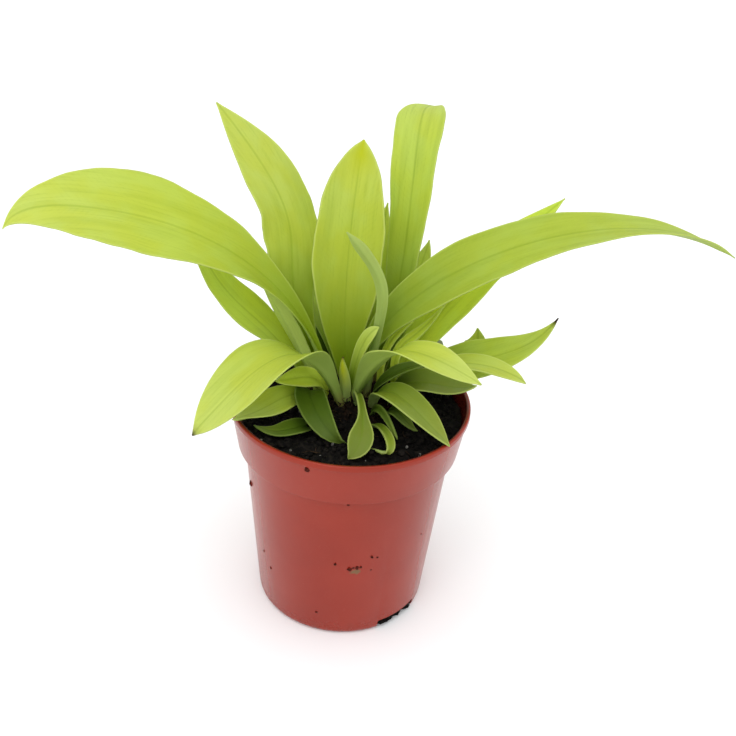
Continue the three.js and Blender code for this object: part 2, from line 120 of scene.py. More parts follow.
# Soil: the top follows the CAD's slope and waves, with lumps and crumbs on it. Lumps are given by
# their pace per millimetre, their size and their layer of the noise.
SOIL_TOP = 55.6
SOIL_RADIUS = 28
SOIL_SLOPE_X = -0.016
SOIL_SLOPE_Y = -0.034
SOIL_ROUGHNESS = 0.16
SOIL_WAVES = ((0.9, 0.5, 0), (-0.8, 0.7, 1), (1.6, 1.4, 2), (1.5, -1.3, 0.4))
SOIL_LUMPS = ((0.33, 0.75, 0.33), (0.8, 0.5, 0.8), (2.1, 0.28, 2.1))
SOIL_SIDE_PROFILE = ((20.8, 1.5), (24.9, 46.3), (26.6, 47.3))
SOIL_SIDES = 256
SOIL_RINGS = 90

# What lies on the soil. Margins are kept from its edge, lifts are shares of the grain's size, and
# a fibre's bend and arc are in radians from end to end.
CRUMBS = 1100
CRUMB_SIZES = (0.22, 1.15)
CRUMB_RARITY = 3
CRUMB_MARGIN = 0.6
CRUMB_LIFT = 0.25
CRUMB_SQUEEZE = (1, 1, 0.8)
FIBRES = 60
FIBRE_MARGIN = 4
FIBRE_LENGTHS = (2, 6.5)
FIBRE_BEND = 1.4
FIBRE_RISE = 0.35
FIBRE_ARCH = 0.3
FIBRE_ARC = 3
FIBRE_RADII = (0.04, 0.1, 0.12, 0.13, 0.12, 0.09, 0.03)
FIBRE_SIDES = 5
PERLITE_SEEN = (
    (-20.4, -17.7, 0.34), (-13.2, -21.2, 0.34), (14, -16.5, 0.34), (16.9, -19.3, 0.4),
    (-6.2, -22.4, 0.2), (4.3, -23.4, 0.2),
)
PERLITE_HIDDEN = 10
PERLITE_MARGIN = 2
PERLITE_SIZES = (0.25, 0.6)
PERLITE_LIFT = 0.4

# A crumb: a ball that noise makes lumpy and a random stretch uneven.
BALL_STEPS = 2
LUMP_PACE = 1.3
LUMP_SIZE = 0.55
STRETCH = (0.65, 1.3)

# Crown: the brown rootstock.
CROWN_CENTRE = (2, 4.5)
CROWN_HALF_SIZE = (12.6, 11.4)
CROWN_BOTTOM = 50.6
CROWN_SHOULDER = 55.6
CROWN_TOP = 57.6
CROWN_OUTLINE = ((5, 0.035, 1), (9, 0.025, 0))
CROWN_LUMPS = ((0.9, 0.5, 0), (2, 0.35, 18))
CROWN_SIDES = 120
CROWN_RINGS = 32

# The crown's papery scales. Their outline is the half width along them, as a share of the most,
# and their leans and turns are in radians.
SCALES = 260
SCALE_REACH = 0.97
SCALE_SINK = 0.3
SCALE_LEANS = (0.1, 1.1)
SCALE_CURL = 0.4
SCALE_TURN = 0.9
SCALE_LENGTHS = (1.6, 4.2)
SCALE_HALF_WIDTHS = (0.2, 0.42)
SCALE_OUTLINE = (0.7, 1, 0.9, 0.65, 0.35, 0.08)
SCALE_FLATNESS = 0.18
SCALE_THINNEST = 0.03
SCALE_SIDES = 6

# Fronds: what all of them share. Waves have a length, and a height in shares of the half width.
ROOT_HEIGHT = 52
STALK_WIDTH = 1.9
TIP_WIDTH = 0.35
CUP_LENGTH = 0.45
CUP_CURVE = 1.5
CUP_NARROWING = 0.25
LEAN_CURVE = 5
FOOT_LENGTH = 0.2
RIPPLES = 2.5
RIPPLE_SHIFT = 1.9
STATION_SPACING = 0.9
HALF_SIDES = (0.04, 0.1, 0.19, 0.3, 0.42, 0.55, 0.68, 0.8, 0.9, 0.96, 1)
SLOPE_STEP = 1e-3
MARGIN_WAVES = ((17, 0.02), (7.5, 0.006), (3.1, 0.002))
FACE_WAVES = ((31, 0.03), (19, 0.02), (9, 0.008))

# Thickness of the blades on either side of their middle surface, with the keel at root and tip.
# Lengths are shares of the blade's own.
MIDDLE_THICKNESS = 0.3
MARGIN_THICKNESS = 0.15
KEEL = (0.5, 0.16)
KEEL_WIDTH = (0.75, 0.4)
GROOVE = 0.11
GROOVE_WIDTH = 0.45
GROOVE_LENGTH = 1 / 1.1
TIP_LENGTH = 0.04
TIP_THINNEST = 0.25

# Each frond runs from its root in the crown through the points a and b, at a third and two thirds
# of its length, to its tip. face is the compass angle that it leans towards, in degrees from +X.
# width is the blade's greatest, reached at the fraction wide of the length; taper shapes the way
# there from the stalk, and bluntness the way on to the tip. lean is how far the tip lies off the
# middle line, in half widths. roll turns the blade about its length, in degrees at the root, the
# middle and the tip. cup folds the two halves up, at the root and along the blade. wave is the
# height of the ripples in the margin. scorch browns the end of the blade and gold yellows it, over
# that fraction of the length. How light the green is, frond by frond, is painted light and shade:
# 0 is the dark green of painted shade, for fronds in the shade of others, 1 leaves the green as it
# is, and 2 is the light green of a young leaf, painted as light onto fronds that lie in shadow. A
# row leaves out what is as in FROND_DEFAULTS.
FRONDS = (
    dict(name="left_long", colour="bright", face=178, root=(-4.5, 4.5), a=(-23.2, 5, 88.9),
         b=(-53.6, 1, 103.7), tip=(-79.4, -7, 106.7), width=21.4, wide=0.65, taper=3,
         bluntness=1.6, lean=0.55, roll=(-19, -30, -34)),
    dict(name="left_upright", colour="bright", face=125, root=(-4, 8), a=(-15.9, 13, 82.9),
         b=(-18.3, 19, 98.3), tip=(-36.2, 26, 123.1), width=14.4, wide=0.59, bluntness=4,
         roll=(-32, -8, -19), wave=0.9, fresh=0.92),
    dict(name="centre_upright", colour="bright", face=90, root=(-0.5, 7.5), a=(-2.7, 12, 77.9),
         b=(-2.1, 18, 100.8), tip=(-0.5, 25, 116.6), width=18, wide=0.51, taper=1.8, bluntness=2.4,
         roll=(0, -2, -7), cup=(0.6, 0.5), gold=0.22),
    dict(name="right_upright", face=75, root=(5.5, 9.5), a=(10.8, 15, 87.8), b=(12.3, 23, 114.3),
         tip=(15.5, 43, 120.8), width=12.2, wide=0.81, taper=1.1, bluntness=2.3, lean=-0.46,
         roll=(-3, -10, -1)),
    dict(name="right_long", face=0, root=(4.2, 5.6), a=(12, 6, 82.2), b=(46.9, 2, 104.6),
         tip=(83.3, -6, 104.9), width=12.8, wide=0.49, taper=2.9, bluntness=2.5,
         roll=(48, 42, -36), fresh=0.88),
    dict(name="right_behind", face=25, root=(8.4, 8.8), a=(21, 13, 76.5), b=(35, 17, 93),
         tip=(49.5, 22, 106), width=11.4, wide=0.42, roll=(20, 35, 30), fresh=2),
    dict(name="back_slim", face=60, root=(8.6, 11.8), a=(11.5, 17, 72.5), b=(15, 20, 84),
         tip=(17.5, 24, 92), width=7.6),
    dict(name="back_upright", face=85, root=(1.5, 11), a=(3, 17, 70), b=(4.5, 23, 85),
         tip=(6.5, 30, 99), width=9),
    dict(name="left_low_back", face=165, root=(-8, 7.5), a=(-21.6, 10, 70.6), b=(-32.7, 13, 79.9),
         tip=(-43.8, 16, 100.5), width=10.4, wide=0.44, taper=2.6, bluntness=2,
         roll=(-12, -20, -28), fresh=1.5),
    dict(name="left_slim", face=178, root=(-8.9, 4.6), a=(-10.3, 5.5, 61.8), b=(-16.9, 7.2, 75.3),
         tip=(-23.2, 8.6, 84.5), width=5, wide=0.64, taper=1.2, bluntness=2, roll=(20, 60, 60),
         fresh=1.7),
    dict(name="left_arch", colour="bright", face=200, root=(-0.6, -1.2), a=(-11.4, -4, 71.8),
         b=(-23.1, -12.5, 71.2), tip=(-36.1, -20, 58.3), width=18, wide=0.53, taper=2.5,
         bluntness=3.1, roll=(91, 9, -19), scorch=0.025),
    dict(name="left_under", colour="bright", face=195, root=(-6.3, 3), a=(-8.5, 1, 62.6),
         b=(-14.1, -2.4, 64.7), tip=(-18.1, -6, 66.1), width=5.7, wide=0.55, taper=2.3,
         bluntness=1.25, roll=(-9, -34, -25), fresh=2),
    dict(name="left_low", colour="bright", face=195, root=(-9.4, 0.4), a=(-13.5, -2.7, 60.2),
         b=(-19.4, -9.4, 60.8), tip=(-27.5, -15.3, 60.2), width=9.7, wide=0.73, taper=2.2,
         bluntness=1.8, roll=(2, -14, 33), fresh=1.4),
    dict(name="left_soil", colour="shade", face=200, root=(-8.5, -6.5), a=(-11.5, -12.4, 57.3),
         b=(-16, -15.5, 57.8), tip=(-22.5, -14.5, 58.5), width=6),
    dict(name="front_left", colour="shade", face=250, root=(-5, -4.2), a=(-10.1, -2.4, 61.5),
         b=(-7.7, -12.2, 61.2), tip=(-0.1, -18, 57.1), width=7.6, wide=0.54, taper=1.4,
         bluntness=2, fresh=0.4),
    dict(name="front_small", face=265, root=(2.4, 0.2), a=(1.7, -6, 63.5), b=(3.2, -16.5, 62.4),
         tip=(0.2, -24.3, 57.4), width=6, wide=0.8, taper=28, bluntness=2.3, roll=(-11, -15, 0),
         fresh=0.3),
    dict(name="right_front", face=320, root=(5.5, 0.5), a=(8.4, -6, 64.7), b=(15.3, -13, 64.3),
         tip=(23.7, -19.5, 59.1), width=9.5, wide=0.55, taper=1.7, bluntness=2.6,
         roll=(0, -2, -15), fresh=0.55),
    dict(name="right_arch", colour="bright", face=345, root=(-0.7, 2.3), a=(6.3, -4.6, 72.6),
         b=(16, -9.5, 77.5), tip=(30.1, -13, 72.4), width=10.3, wide=0.47, taper=2.5,
         bluntness=3.3, roll=(-108, -18, 29)),
    dict(name="right_slim", colour="bright", face=355, root=(14.8, 3.4), a=(20.8, 7.3, 63.6),
         b=(32.6, 5.5, 66.9), tip=(43.5, 3, 63.9), width=7.7, wide=0.61, taper=1.4, bluntness=2.2,
         roll=(-8, 0, 17)),
    dict(name="right_dark_tip", face=20, root=(13.5, 9.5), a=(25.3, 13.5, 61), b=(40.4, 16, 65.3),
         tip=(52.1, 18, 75.2), width=11.6, wide=0.49, bluntness=1.4, roll=(23, 27, 10),
         scorch=0.05),
    dict(name="right_low", face=355, root=(10.2, 1.8), a=(14, 0.2, 63.3), b=(22, -3.2, 65.5),
         tip=(30, -6.2, 68), width=11, fresh=0.38),
    dict(name="right_inner", colour="shade", face=350, root=(6.6, 2.6), a=(8.2, 1.8, 63),
         b=(14.5, -1, 69), tip=(16.5, -3, 70.4), width=6.1, wide=0.45, bluntness=1,
         roll=(-12, 5, -4)),
    dict(name="centre_small", face=60, root=(-0.2, 4.8), a=(0.9, 1.5, 67.5), b=(3.1, 0.5, 75.5),
         tip=(5.8, 0.3, 78.8), width=3.7, wide=0.58, bluntness=2.5, roll=(0, -22, 9)),
    dict(name="centre_bud", face=250, root=(-2.7, -0.2), a=(-1.5, 0.7, 59.5), b=(-2, 0.3, 65.2),
         tip=(-2.4, 0, 70.2), width=3, scorch=0.06, gold=0.6),
    dict(name="centre_front", face=260, root=(3.6, 3.3), a=(5.5, 1.7, 76.8), b=(5.4, 0.9, 90),
         tip=(-3.1, -0.6, 103.1), width=3.1, wide=0.9, taper=1.9, fresh=0.85),
    dict(name="front_curl", face=290, root=(4.5, -4.8), a=(8, -13.3, 58.9), b=(10, -20, 58.2),
         tip=(5.6, -19.8, 57.5), width=2.3, cup=(0.3, 0.2), fresh=0.55),
    dict(name="front_thin", colour="shade", face=300, root=(5.4, -2.4), a=(6.6, -6, 59.8),
         b=(9.2, -11.5, 60.2), tip=(11.6, -16, 57.8), width=2, roll=(40, 60, 60)),
    dict(name="right_soil", colour="shade", face=325, root=(8, -2.5), a=(10.5, -7, 60),
         b=(13, -9.5, 59.5), tip=(16.5, -11.5, 57.5), width=4.5),
    dict(name="right_tip_behind", face=40, root=(11, 14), a=(20.5, 17.5, 59.6), b=(30.2, 21.5, 61),
         tip=(32.5, 23.5, 68), width=6.5, wide=0.8, taper=3, roll=(20, 30, 30)),
    dict(name="fan_left", face=25, root=(8.6, 5.4), a=(7.7, 6.5, 67.4), b=(11.4, 7.5, 74.6),
         tip=(14.8, 8, 78.4), width=2, roll=(20, 40, 40), fresh=2),
    dict(name="fan_right", face=20, root=(12, 6.5), a=(10.9, 6.8, 67.2), b=(14.3, 8.5, 72),
         tip=(22, 10, 81.3), width=3, wide=0.55, bluntness=2.5, roll=(19, 31, 44), fresh=2),
    dict(name="back_left_low", colour="shade", face=150, root=(-5.5, 10.5), a=(-11, 17, 64),
         b=(-20, 26, 66), tip=(-29, 33, 60), width=9),
    dict(name="back_left", face=125, root=(-2.5, 13.5), a=(-9, 22, 71), b=(-16, 34, 75),
         tip=(-22, 44, 68), width=11),
    dict(name="back_centre", face=92, root=(1, 14.5), a=(0.5, 25, 71), b=(-1, 38, 74),
         tip=(-3, 49, 66), width=12),
    dict(name="back_right", face=70, root=(4.5, 15), a=(9.5, 24, 70), b=(15.5, 34, 74),
         tip=(21, 43, 68), width=11),
    dict(name="back_right_low", colour="shade", face=45, root=(8, 14.5), a=(13, 21, 60.2),
         b=(19, 29, 60.8), tip=(25, 35, 56), width=9),
)
FROND_DEFAULTS = dict(
    colour="middle", wide=0.5, taper=1.3, bluntness=1.9, lean=0, roll=(0, 0, 0), cup=(0.9, 0.2),
    wave=0, scorch=0, gold=0, fresh=1,
)

# Leaves: the tones of each slot, what tints them, and their shine. The bright, middle and shade
# slots are lit, middling and shaded copies of one leaf green: painted light and shade.
LEAF_TONES = {
    "bright": dict(
        deep=(134, 164, 14), fresh=(200, 217, 90), edge=(226, 238, 142), back=(174, 198, 112)),
    "middle": dict(
        deep=(112, 146, 12), fresh=(194, 215, 88), edge=(218, 232, 130), back=(174, 196, 118)),
    "shade": dict(
        deep=(56, 84, 14), fresh=(100, 128, 36), edge=(160, 182, 90), back=(104, 132, 66)),
}
# Painted shade and painted light: the greens that a frond is darkened and lightened toward.
PAINTED_SHADE_GREEN = (62, 88, 14)
PAINTED_LIGHT_GREEN = (216, 236, 84)
YELLOWING = (255, 250, 206)
GOLD = (200, 208, 40)
STALK_BROWN = (138, 106, 70)
SCORCH_BROWN = (58, 34, 20)
SHINING_THROUGH = (255, 250, 170)
TRANSLUCENCE = 0.38
LEAF_SHINE = dict(IOR=1.42, Specular_IOR_Level=0.3, Specular_Tint=(0.92, 1, 0.7, 1))

# Fades: as what a fade follows goes from its first number to its second, the share goes smoothly
# from its third to its fourth. These follow the length, from 0 at the root to 1 at the tip.
# The deep green at the foot is partly the leaf's own and partly painted shade deep in the plant.
LIGHT_GREEN_ALONG = (0.05, 0.6, 0, 1)
PALE_ALONG = (0.5, 1, 0, 0.5)
MARGIN_ALONG = (0.1, 0.5, 0.1, 0.5)
STALK_ALONG = (0.03, 0.12, 0.75, 0)

# Fades that follow the distance from a line on the blade, and then those that follow noise.
MIDRIB_FADE = (0.1, 0.42, 1, 0)
MARGIN_FADE = (0.05, 0.45, 1, 0)
VEIN_FADE = (0.02, 0.3, 1, 0)
VEIN_BREAKS = (0.4, 0.65, 0, 1)
YELLOW_PATCHES = (0.35, 0.65, 0, 0.75)
BROAD_STREAKS = (0.4, 0.7, 0, 0.13)
THIN_STREAKS = (0.5, 0.75, 0, 0.12)
LEAF_ROUGHNESS = (0.3, 0.7, 0.36, 0.5)

# Noise on the blades, by its paces per millimetre across and along them, and the fine grain.
BROAD_PACES = (0.55, 0.05)
THIN_PACES = (2.6, 0.12)
PATCH_PACES = (0.16, 0.1)
LEAF_GRAIN = (900, 4, 0.6)

# Veins, the strength of tints without a fade of their own, the relief, and the share of a tinted
# tip over which the tint grows.
VEIN_SPACING = 1.5
VEIN_SLANT = -1.1
VEIN_WANDER = 5
VEIN_TINT = 0.05
MIDRIB_TINT = 0.25
BACK_TINT = 0.6
STREAK_RELIEF = 1.4
VEIN_RELIEF = -0.4
LEAF_BUMP = (0.00006, 0.7)
TIP_TINT_GROWTH = 0.6

# The pot's finish. Clouds are noise, given by its pace per metre, detail, roughness and stretch.
POT_TONES = ((136, 32, 18), (145, 38, 23))
FLECK_COLOUR = (166, 74, 58)
DUST_COLOUR = (92, 48, 36)
INNER_SHADE_COLOUR = (64, 16, 12)
SMEAR_COLOUR = (104, 84, 52)
POT_SHINE = dict(Specular_IOR_Level=0.45, Specular_Tint=(1, 0.75, 0.6, 1))
TONE_CLOUD = (40, 3)
TONE_FADE = (0.3, 0.7, 0, 1)
GRAIN_CLOUD = (1600, 3, 0.6)
FLECK_FADE = (0.62, 0.75, 0, 0.2)
DRAWN_CLOUD = (300, 3, 0.6, (1, 1, 0.12))
POT_ROUGHNESS = (0.3, 0.7, 0.2, 0.27)
DRAWN_RELIEF = 0.7
GRAIN_RELIEF = 0.4
POT_BUMP = (0.00004, 0.7)
DUST_CLOUD = (500, 4)
DUST_FADE = (0.45, 0.65, 0, 1)
DUST_UP = (0, 6 * MM, 0.25, 0)
DUST_ROUGHNESS = 0.5
# Painted shade inside the collar: its rise, its fade into the wall, and its strength.
INNER_SHADE_RISE = 1
INNER_SHADE_DEPTH = 0.3
INNER_SHADE_TINT = 0.75
SMEAR_ANGLE = -81.2
SMEAR_HEIGHT = 23
SMEAR_SHAPE = (1, 1, 1.5)
SMEAR_REACHES = (1.875, 2.7)
SMEAR_CLOUD = (900, 3)
SMEAR_RAGGEDNESS = 2.2 * MM
SMEAR_TINT = 0.85

# Earthy materials: dark tone, light tone, specks per metre and roughness.
EARTHS = {
    "soil_earth": ((8, 7, 6), (32, 28, 24), 900, 0.9),
    "dried_soil": ((62, 20, 14), (104, 44, 32), 1500, 0.9),
    "peat_fibre": ((34, 25, 18), (70, 54, 38), 1500, 0.9),
    "perlite_grit": ((84, 82, 78), (160, 158, 152), 1200, 0.9),
    "rootstock_bark": ((12, 9, 6), (46, 32, 22), 1200, 0.9),
    "scale_brown": ((20, 13, 8), (74, 52, 34), 800, 0.7),
}
EARTH_SPECULAR = 0.1
EARTH_DETAIL = (5, 0.65)
EARTH_FADE = (0.42, 0.7, 0, 1)
EARTH_BUMP = (0.0003, 1)


# ---- meshes ----

def add_piece(name, vertices, faces, material, attributes=None):
    """A new smooth object, with attributes given by a value for each vertex."""
    mesh = bpy.data.meshes.new(name)
    mesh.from_pydata((np.asarray(vertices) * MM).tolist(), [], faces)
    for key, values in (attributes or {}).items():
        layer = mesh.attributes.new(key, "FLOAT", "POINT")
        layer.data.foreach_set("value", np.asarray(values, np.float32).ravel())
    mesh.materials.append(material)
    mesh.shade_smooth()
    piece = bpy.data.objects.new(name, mesh)
    bpy.context.scene.collection.objects.link(piece)
    return piece


def joined(bodies):
    """One list of vertices and one of faces for several bodies."""
    vertices, faces, start = [], [], 0
    for points, corners in bodies:
        vertices.append(np.asarray(points))
        faces += [tuple(start + corner for corner in face) for face in corners]
        start += len(points)
    return np.concatenate(vertices), faces


def around(sides):
    """The angles of a ring's points."""
    return np.arange(sides) / sides * 2 * np.pi


def level_ring(radius, height, sides):
    """Points round the pot's axis, all at one height."""
    angles = around(sides)
    heights = np.full(sides, float(height))
    return np.column_stack([radius * np.cos(angles), radius * np.sin(angles), heights])


def stacked_rings(rings):
    """A body of closed rings of equally many points, with flat ends."""
    sides = len(rings[0])
    faces = []
    for ring in range(len(rings) - 1):
        for side in range(sides):
            low = ring * sides + side
            low_next = ring * sides + (side + 1) % sides
            faces.append((low, low_next, low_next + sides, low + sides))
    last = (len(rings) - 1) * sides
    faces.append(tuple(range(sides - 1, -1, -1)))
    faces.append(tuple(range(last, last + sides)))
    return np.concatenate(rings), faces


def unit(vectors):
    return vectors / np.linalg.norm(vectors, axis=-1, keepdims=True)


def swept(path, across, half_widths, half_heights, sides):
    """A rod of elliptic section along the path; across is the direction of its width."""
    path = np.asarray(path, float)
    directions = unit(np.gradient(path, axis=0))
    wide = unit(across - np.sum(across * directions, 1, keepdims=True) * directions)
    tall = np.cross(directions, wide)
    cosines, sines = np.cos(around(sides)), np.sin(around(sides))
    return stacked_rings([
        place + np.outer(cosines * half_width, right) + np.outer(sines * half_height, up)
        for place, right, up, half_width, half_height in zip(
            path, wide, tall, half_widths, half_heights)
    ])


def turn_about_axis(degrees):
    return Matrix.Rotation(math.radians(degrees), 3, "Z")


def random_turn(draw):
    axis = Vector([draw.gauss(0, 1) for _ in range(3)]).normalized()
    return np.array(Matrix.Rotation(draw.uniform(0, 2 * math.pi), 3, axis))


def ball_shape():
    """A ball of radius 1."""
    ball = bmesh.new()
    bmesh.ops.create_icosphere(ball, subdivisions=BALL_STEPS, radius=1)
    vertices = np.array([vertex.co for vertex in ball.verts])
    faces = [tuple(vertex.index for vertex in face.verts) for face in ball.faces]
    ball.free()
    return vertices, faces


def crumb(draw, place, size, squeeze=(1, 1, 1)):
    """A rough grain with its middle at place."""
    vertices, faces = BALL
    shift = Vector([draw.uniform(-NOISE_REACH, NOISE_REACH) for _ in range(3)])
    bulge = np.array([noise.noise(Vector(vertex) * LUMP_PACE + shift) for vertex in vertices])
    stretch = np.array([draw.uniform(*STRETCH) for _ in range(3)])
    body = vertices * (1 + LUMP_SIZE * bulge[:, None]) * stretch @ random_turn(draw)
    return body * size * squeeze + place, faces


BALL = ball_shape()


# ---- materials ----

def linear(colour):
    """A colour given by its 0 to 255 values, as a shader takes it."""
    return tuple(((part / 255 + 0.055) / 1.055) ** 2.4 for part in colour) + (1,)


def add(tree, kind, inputs=None, **settings):
    """A new node, with inputs given by name or number as values or as sockets to link."""
    node = tree.nodes.new("ShaderNode" + kind)
    for key, value in settings.items():
        setattr(node, key, value)
    for key, value in (inputs or {}).items():
        if isinstance(value, bpy.types.NodeSocket):
            tree.links.new(value, node.inputs[key])
        else:
            node.inputs[key].default_value = value
    return node


def calculate(tree, operation, *values):
    return add(tree, "Math", dict(enumerate(values)), operation=operation).outputs[0]


def remap(tree, value, low, high, start, end):
    """value as it goes smoothly from low to high, turned into start to end."""
    inputs = {"Value": value, "From Min": low, "From Max": high, "To Min": start, "To Max": end}
    return add(tree, "MapRange", inputs, interpolation_type="SMOOTHSTEP").outputs[0]


def blend(tree, share, first, second, how="MIX"):
    inputs = {0: share, 6: first, 7: second}
    return add(tree, "Mix", inputs, data_type="RGBA", blend_type=how).outputs[2]


def attribute(tree, name):
    return add(tree, "Attribute", attribute_name=name).outputs["Fac"]


def place_in(tree, stretch=(1, 1, 1)):
    """Object coordinates, stretched along each axis."""
    place = add(tree, "TexCoord").outputs["Object"]
    return add(tree, "VectorMath", {0: place, 1: stretch}, operation="MULTIPLY").outputs[0]


def cloud(tree, per_metre, detail, roughness=0.5, stretch=(1, 1, 1)):
    inputs = {
        "Vector": place_in(tree, stretch), "Scale": per_metre,
        "Detail": detail, "Roughness": roughness,
    }
    return add(tree, "TexNoise", inputs).outputs[0]


def blade_cloud(tree, across, distance, pace_across, pace_along):
    """Noise laid out along the blade, so that it can be drawn out into streaks."""
    inputs = {
        "X": calculate(tree, "MULTIPLY", across, pace_across),
        "Y": calculate(tree, "MULTIPLY", distance, pace_along),
        "Z": attribute(tree, "seed"),
    }
    place = add(tree, "CombineXYZ", inputs).outputs[0]
    return add(tree, "TexNoise", {"Vector": place, "Scale": 1, "Detail": 2}).outputs[0]


def new_material(name, **principled):
    """A material, its node tree and its Principled shader with these inputs set."""
    material = bpy.data.materials.new(name)
    material.use_nodes = True
    tree = material.node_tree
    shader = tree.nodes["Principled BSDF"]
    for key, value in principled.items():
        shader.inputs[key.replace("_", " ")].default_value = value
    return material, tree, shader


def set_bump(tree, shader, height, depth, strength):
    inputs = {"Height": height, "Distance": depth, "Strength": strength}
    tree.links.new(add(tree, "Bump", inputs).outputs[0], shader.inputs["Normal"])


def leaf_veins(tree, from_midrib, distance, patches, streaks):
    """Broken lines that leave the midrib at a slant and wander a little."""
    slanted = calculate(tree, "MULTIPLY_ADD", from_midrib, VEIN_SLANT, distance)
    wandering = calculate(tree, "MULTIPLY_ADD", patches, VEIN_WANDER, slanted)
    spaced = calculate(tree, "DIVIDE", wandering, VEIN_SPACING)
    to_nearest = calculate(tree, "PINGPONG", spaced, 0.5)
    return calculate(
        tree, "MULTIPLY", remap(tree, to_nearest, *VEIN_FADE), remap(tree, streaks, *VEIN_BREAKS))


def leaf_material(name, tones):
    """A thin leaf: deep green at its foot, partly painted shade, and light green beyond, with
    veins and a pale edge that is partly a painted highlight.
    """
    deep, fresh, edge, back = (linear(tones[key]) for key in ("deep", "fresh", "edge", "back"))
    material, tree, shader = new_material(name, **LEAF_SHINE)
    along = attribute(tree, "along")
    across = attribute(tree, "across")
    distance = attribute(tree, "distance")
    painted_lightness = attribute(tree, "fresh")
    from_midrib = calculate(tree, "ABSOLUTE", across)
    grain = cloud(tree, *LEAF_GRAIN)
    broad_streaks = blade_cloud(tree, across, distance, *BROAD_PACES)
    thin_streaks = blade_cloud(tree, across, distance, *THIN_PACES)
    patches = blade_cloud(tree, across, distance, *PATCH_PACES)
    veins = leaf_veins(tree, from_midrib, distance, patches, thin_streaks)
    midrib = remap(tree, from_midrib, *MIDRIB_FADE)
    margin = remap(tree, attribute(tree, "to_margin"), *MARGIN_FADE)

    tints_in_order = (
        (remap(tree, along, *PALE_ALONG), edge),
        # Painted shade below 1 and painted light above 1, set frond by frond.
        (calculate(tree, "SUBTRACT", 1, painted_lightness), linear(PAINTED_SHADE_GREEN)),
        (calculate(tree, "SUBTRACT", painted_lightness, 1), linear(PAINTED_LIGHT_GREEN)),
        (remap(tree, patches, *YELLOW_PATCHES), linear(YELLOWING), "MULTIPLY"),
        (remap(tree, broad_streaks, *BROAD_STREAKS), deep),
        (remap(tree, thin_streaks, *THIN_STREAKS), deep),
        (calculate(tree, "MULTIPLY", veins, VEIN_TINT), deep),
        (calculate(tree, "MULTIPLY", midrib, MIDRIB_TINT), deep),
        # A paler margin: partly the leaf's own, partly a painted highlight of light through the
        # edge.
        (calculate(tree, "MULTIPLY", margin, remap(tree, along, *MARGIN_ALONG)), edge),
        (calculate(tree, "MULTIPLY", attribute(tree, "under"), BACK_TINT), back),
        (attribute(tree, "gold"), linear(GOLD)),
        (remap(tree, along, *STALK_ALONG), linear(STALK_BROWN)),
        (attribute(tree, "scorch"), linear(SCORCH_BROWN)),
    )
    # Deep green at the foot, partly painted shade, grading to light green beyond.
    colour = blend(tree, remap(tree, along, *LIGHT_GREEN_ALONG), deep, fresh)
    for share, *toward in tints_in_order:
        colour = blend(tree, share, colour, *toward)
    tree.links.new(colour, shader.inputs["Base Color"])

    tree.links.new(remap(tree, grain, *LEAF_ROUGHNESS), shader.inputs["Roughness"])
    relief = calculate(tree, "MULTIPLY_ADD", thin_streaks, STREAK_RELIEF, grain)
    relief = calculate(tree, "MULTIPLY_ADD", veins, VEIN_RELIEF, relief)
    set_bump(tree, shader, relief, *LEAF_BUMP)

    through = blend(tree, 1, colour, linear(SHINING_THROUGH), "MULTIPLY")
    glow = add(tree, "BsdfTranslucent", {"Color": through})
    both = add(tree, "MixShader", {0: TRANSLUCENCE, 1: shader.outputs[0], 2: glow.outputs[0]})
    tree.links.new(both.outputs[0], tree.nodes["Material Output"].inputs["Surface"])
    return material


def pot_dust(tree):
    """Patches of dust at the pot's foot."""
    height = add(tree, "SeparateXYZ", {0: place_in(tree)}).outputs["Z"]
    patches = remap(tree, cloud(tree, *DUST_CLOUD), *DUST_FADE)
    return calculate(tree, "MULTIPLY", remap(tree, height, *DUST_UP), patches)


def pot_inner_shade(tree):
    """Painted shade on the inside of the collar, as far as the middle of its wall."""
    parts = add(tree, "SeparateXYZ", {0: place_in(tree)}).outputs
    y_square = calculate(tree, "MULTIPLY", parts["Y"], parts["Y"])
    squares = calculate(tree, "MULTIPLY_ADD", parts["X"], parts["X"], y_square)
    radius = calculate(tree, "SQRT", squares)
    slant = (COLLAR_TOP_RADIUS - COLLAR_BOTTOM_RADIUS) / (LIP_BOTTOM - COLLAR_BOTTOM)
    upright = calculate(tree, "MULTIPLY_ADD", parts["Z"], -slant, radius)
    middle = COLLAR_BOTTOM_RADIUS - WALL / 2 - slant * COLLAR_BOTTOM
    top = COLLAR_BOTTOM + INNER_SHADE_RISE
    above = remap(tree, parts["Z"], COLLAR_BOTTOM * MM, top * MM, 0, 1)
    inside = remap(tree, upright, middle * MM, (middle + INNER_SHADE_DEPTH) * MM, INNER_SHADE_TINT, 0)
    return calculate(tree, "MULTIPLY", above, inside)


def pot_smear(tree):
    """A ragged spot of soil on the pot's front."""
    middle = wall_point(SMEAR_ANGLE, SMEAR_HEIGHT) * SMEAR_SHAPE * MM
    inputs = {0: place_in(tree, SMEAR_SHAPE), 1: middle.tolist()}
    away = add(tree, "VectorMath", inputs, operation="DISTANCE").outputs["Value"]
    uneven = cloud(tree, *SMEAR_CLOUD)
    ragged = calculate(tree, "MULTIPLY_ADD", uneven, SMEAR_RAGGEDNESS, away)
    full, end = (reach * MM for reach in SMEAR_REACHES)
    return remap(tree, ragged, full, end, SMEAR_TINT, 0)


